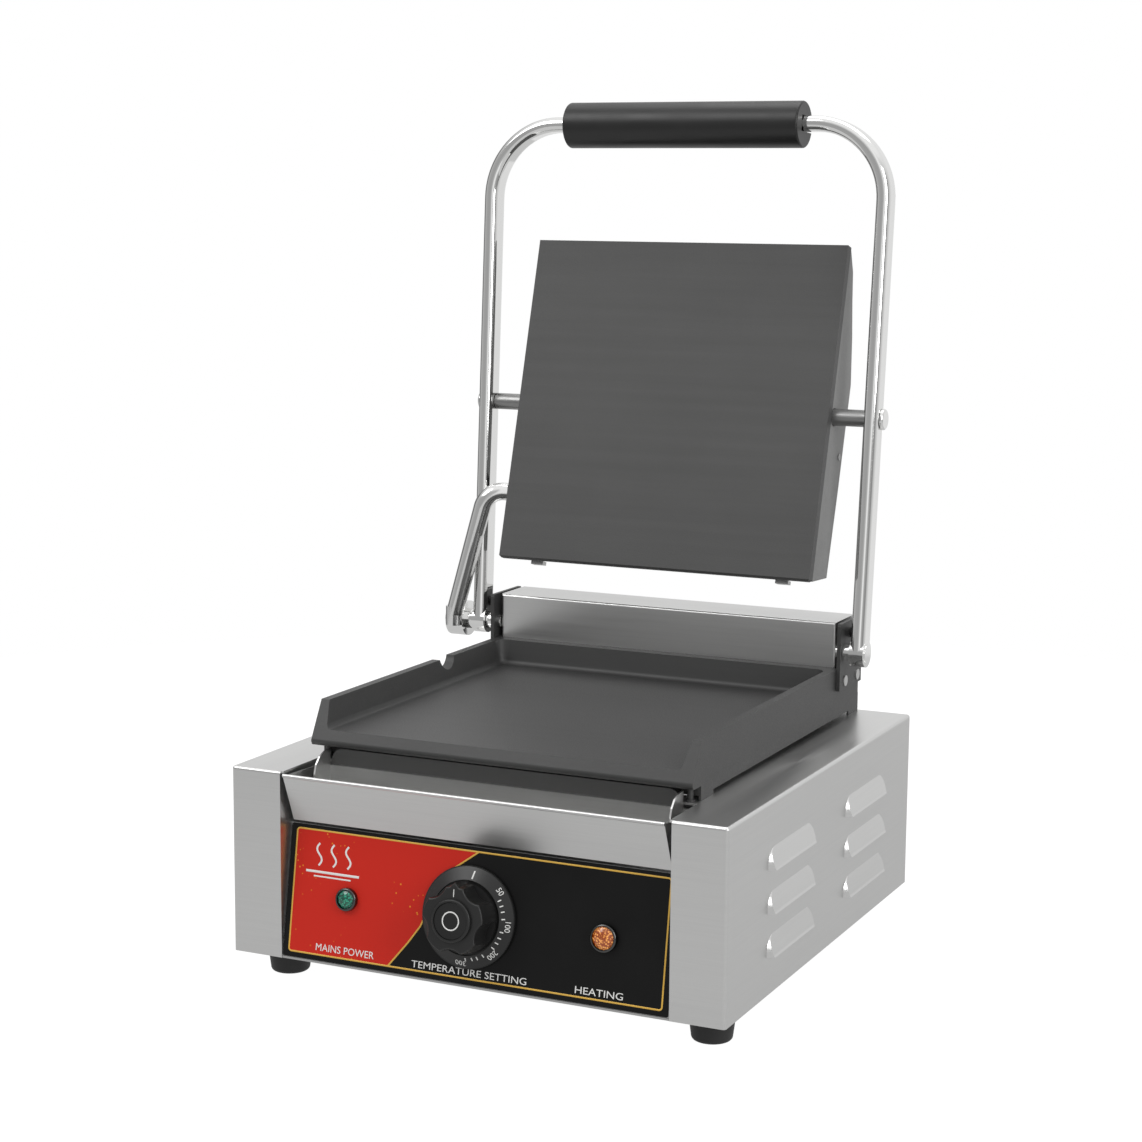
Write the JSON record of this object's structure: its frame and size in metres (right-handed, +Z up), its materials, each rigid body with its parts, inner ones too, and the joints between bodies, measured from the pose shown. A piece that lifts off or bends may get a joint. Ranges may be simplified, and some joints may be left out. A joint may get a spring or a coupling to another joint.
{
  "type": "panini press",
  "caption": "Countertop contact grill: a hinged upper plate on a tube handle closes over a lipped griddle, with a thermostat dial, lamps and a pull-out drip tray.",
  "frame": {"origin": "middle of the footprint's bounding box, on the plane that the four feet stand on", "axes": "+Z up, the control panel faces -Y, +X to the right as seen from the front"},
  "size_m": [0.2972, 0.3267, 0.4832],
  "materials": {
    "brushed_stainless": "brushed",
    "plain_stainless": "satin",
    "chrome": "polished",
    "zinc_steel": "zinc plated",
    "turned_steel": "turned, dark",
    "dark_sheet": "satin, heat darkened",
    "griddle_iron": "matte non-stick coat with a fine grain",
    "plate_iron": "matte non-stick coat with a fine grain",
    "plate_cover_paint": "satin grey",
    "black_plastic": "satin black",
    "rubber_foot": "matte",
    "panel_print": "printed film",
    "knob_cap": "satin",
    "lamp_bezel": "dark chrome",
    "green_lens": "faceted, translucent",
    "amber_lens": "faceted, translucent",
    "element_sheath": "oxidised",
    "copper": "drawn"
  },
  "bodies": {
    "base": {"base_pan": "plain_stainless", "left_side_cover": "brushed_stainless", "right_side_cover": "brushed_stainless", "rear_panel": "plain_stainless", "cover_screws": "zinc_steel", "front_left_foot": "rubber_foot", "front_right_foot": "rubber_foot", "rear_left_foot": "rubber_foot", "rear_right_foot": "rubber_foot", "foot_screws": "zinc_steel", "cable_gland": "black_plastic", "gland_locknut": "zinc_steel", "front_panel": "plain_stainless", "panel_overlay": "panel_print", "power_lamp_bezel": "lamp_bezel", "power_lamp_lens": "green_lens", "power_lamp_nut": "zinc_steel", "heat_lamp_bezel": "lamp_bezel", "heat_lamp_lens": "amber_lens", "heat_lamp_nut": "zinc_steel", "thermostat": "zinc_steel", "thermostat_bulb": "copper", "terminal_block": "black_plastic", "tray_rails": "plain_stainless", "lower_griddle": "griddle_iron", "element_pan": "griddle_iron", "griddle_posts": "griddle_iron", "lower_element": "element_sheath", "element_clamps": "plain_stainless", "hinge_box": "brushed_stainless", "left_hinge_ear": "griddle_iron", "right_hinge_ear": "griddle_iron", "ear_screws": "zinc_steel", "arm_stops": "rubber_foot"},
    "arm": {"handle_frame": "chrome", "handle_grip": "black_plastic", "grip_screws": "zinc_steel", "hinge_bolts": "chrome", "hinge_collars": "chrome", "conduit_tube": "chrome", "conduit_swivel": "chrome"},
    "plate": {"upper_plate": "plate_iron", "upper_cover": "plate_cover_paint", "pivot_pins": "turned_steel", "pivot_cap_nuts": "chrome", "upper_element": "element_sheath", "upper_element_clamp": "plain_stainless", "upper_cover_screws": "zinc_steel", "cover_side_screws": "turned_steel", "cover_clips": "plain_stainless", "conduit_grommet": "black_plastic"},
    "knob": {"knob": "black_plastic", "knob_cap": "knob_cap", "thermostat_shaft": "zinc_steel"},
    "tray": {"drip_tray": "brushed_stainless", "tray_apron": "dark_sheet"}
  },
  "joints": [
    {"name": "arm_lift", "type": "hinge", "parent": "base", "child": "arm", "pos_m": [0, 0.1123, 0.1624], "axis": [1, 0, 0], "range_deg": [0, 97.28]},
    {"name": "plate_tilt", "type": "hinge", "parent": "arm", "child": "plate", "pos_m": [0, 0.12538, 0.29961], "axis": [1, 0, 0], "range_deg": [0, 8.84], "deforming": ["conduit_tube"]},
    {"name": "knob_turn", "type": "hinge", "parent": "base", "child": "knob", "pos_m": [-0.002, -0.13894, 0.05334], "axis": [0, -0.9871, 0.1599], "range_deg": [0, 280]},
    {"name": "tray_slide", "type": "slide", "parent": "base", "child": "tray", "axis": [0, -1, 0], "range_m": [0, 0.06]}
  ],
  "couplings": [
    {"joint": "plate_tilt", "follows": "arm_lift", "ratio": 0.090705}
  ]
}
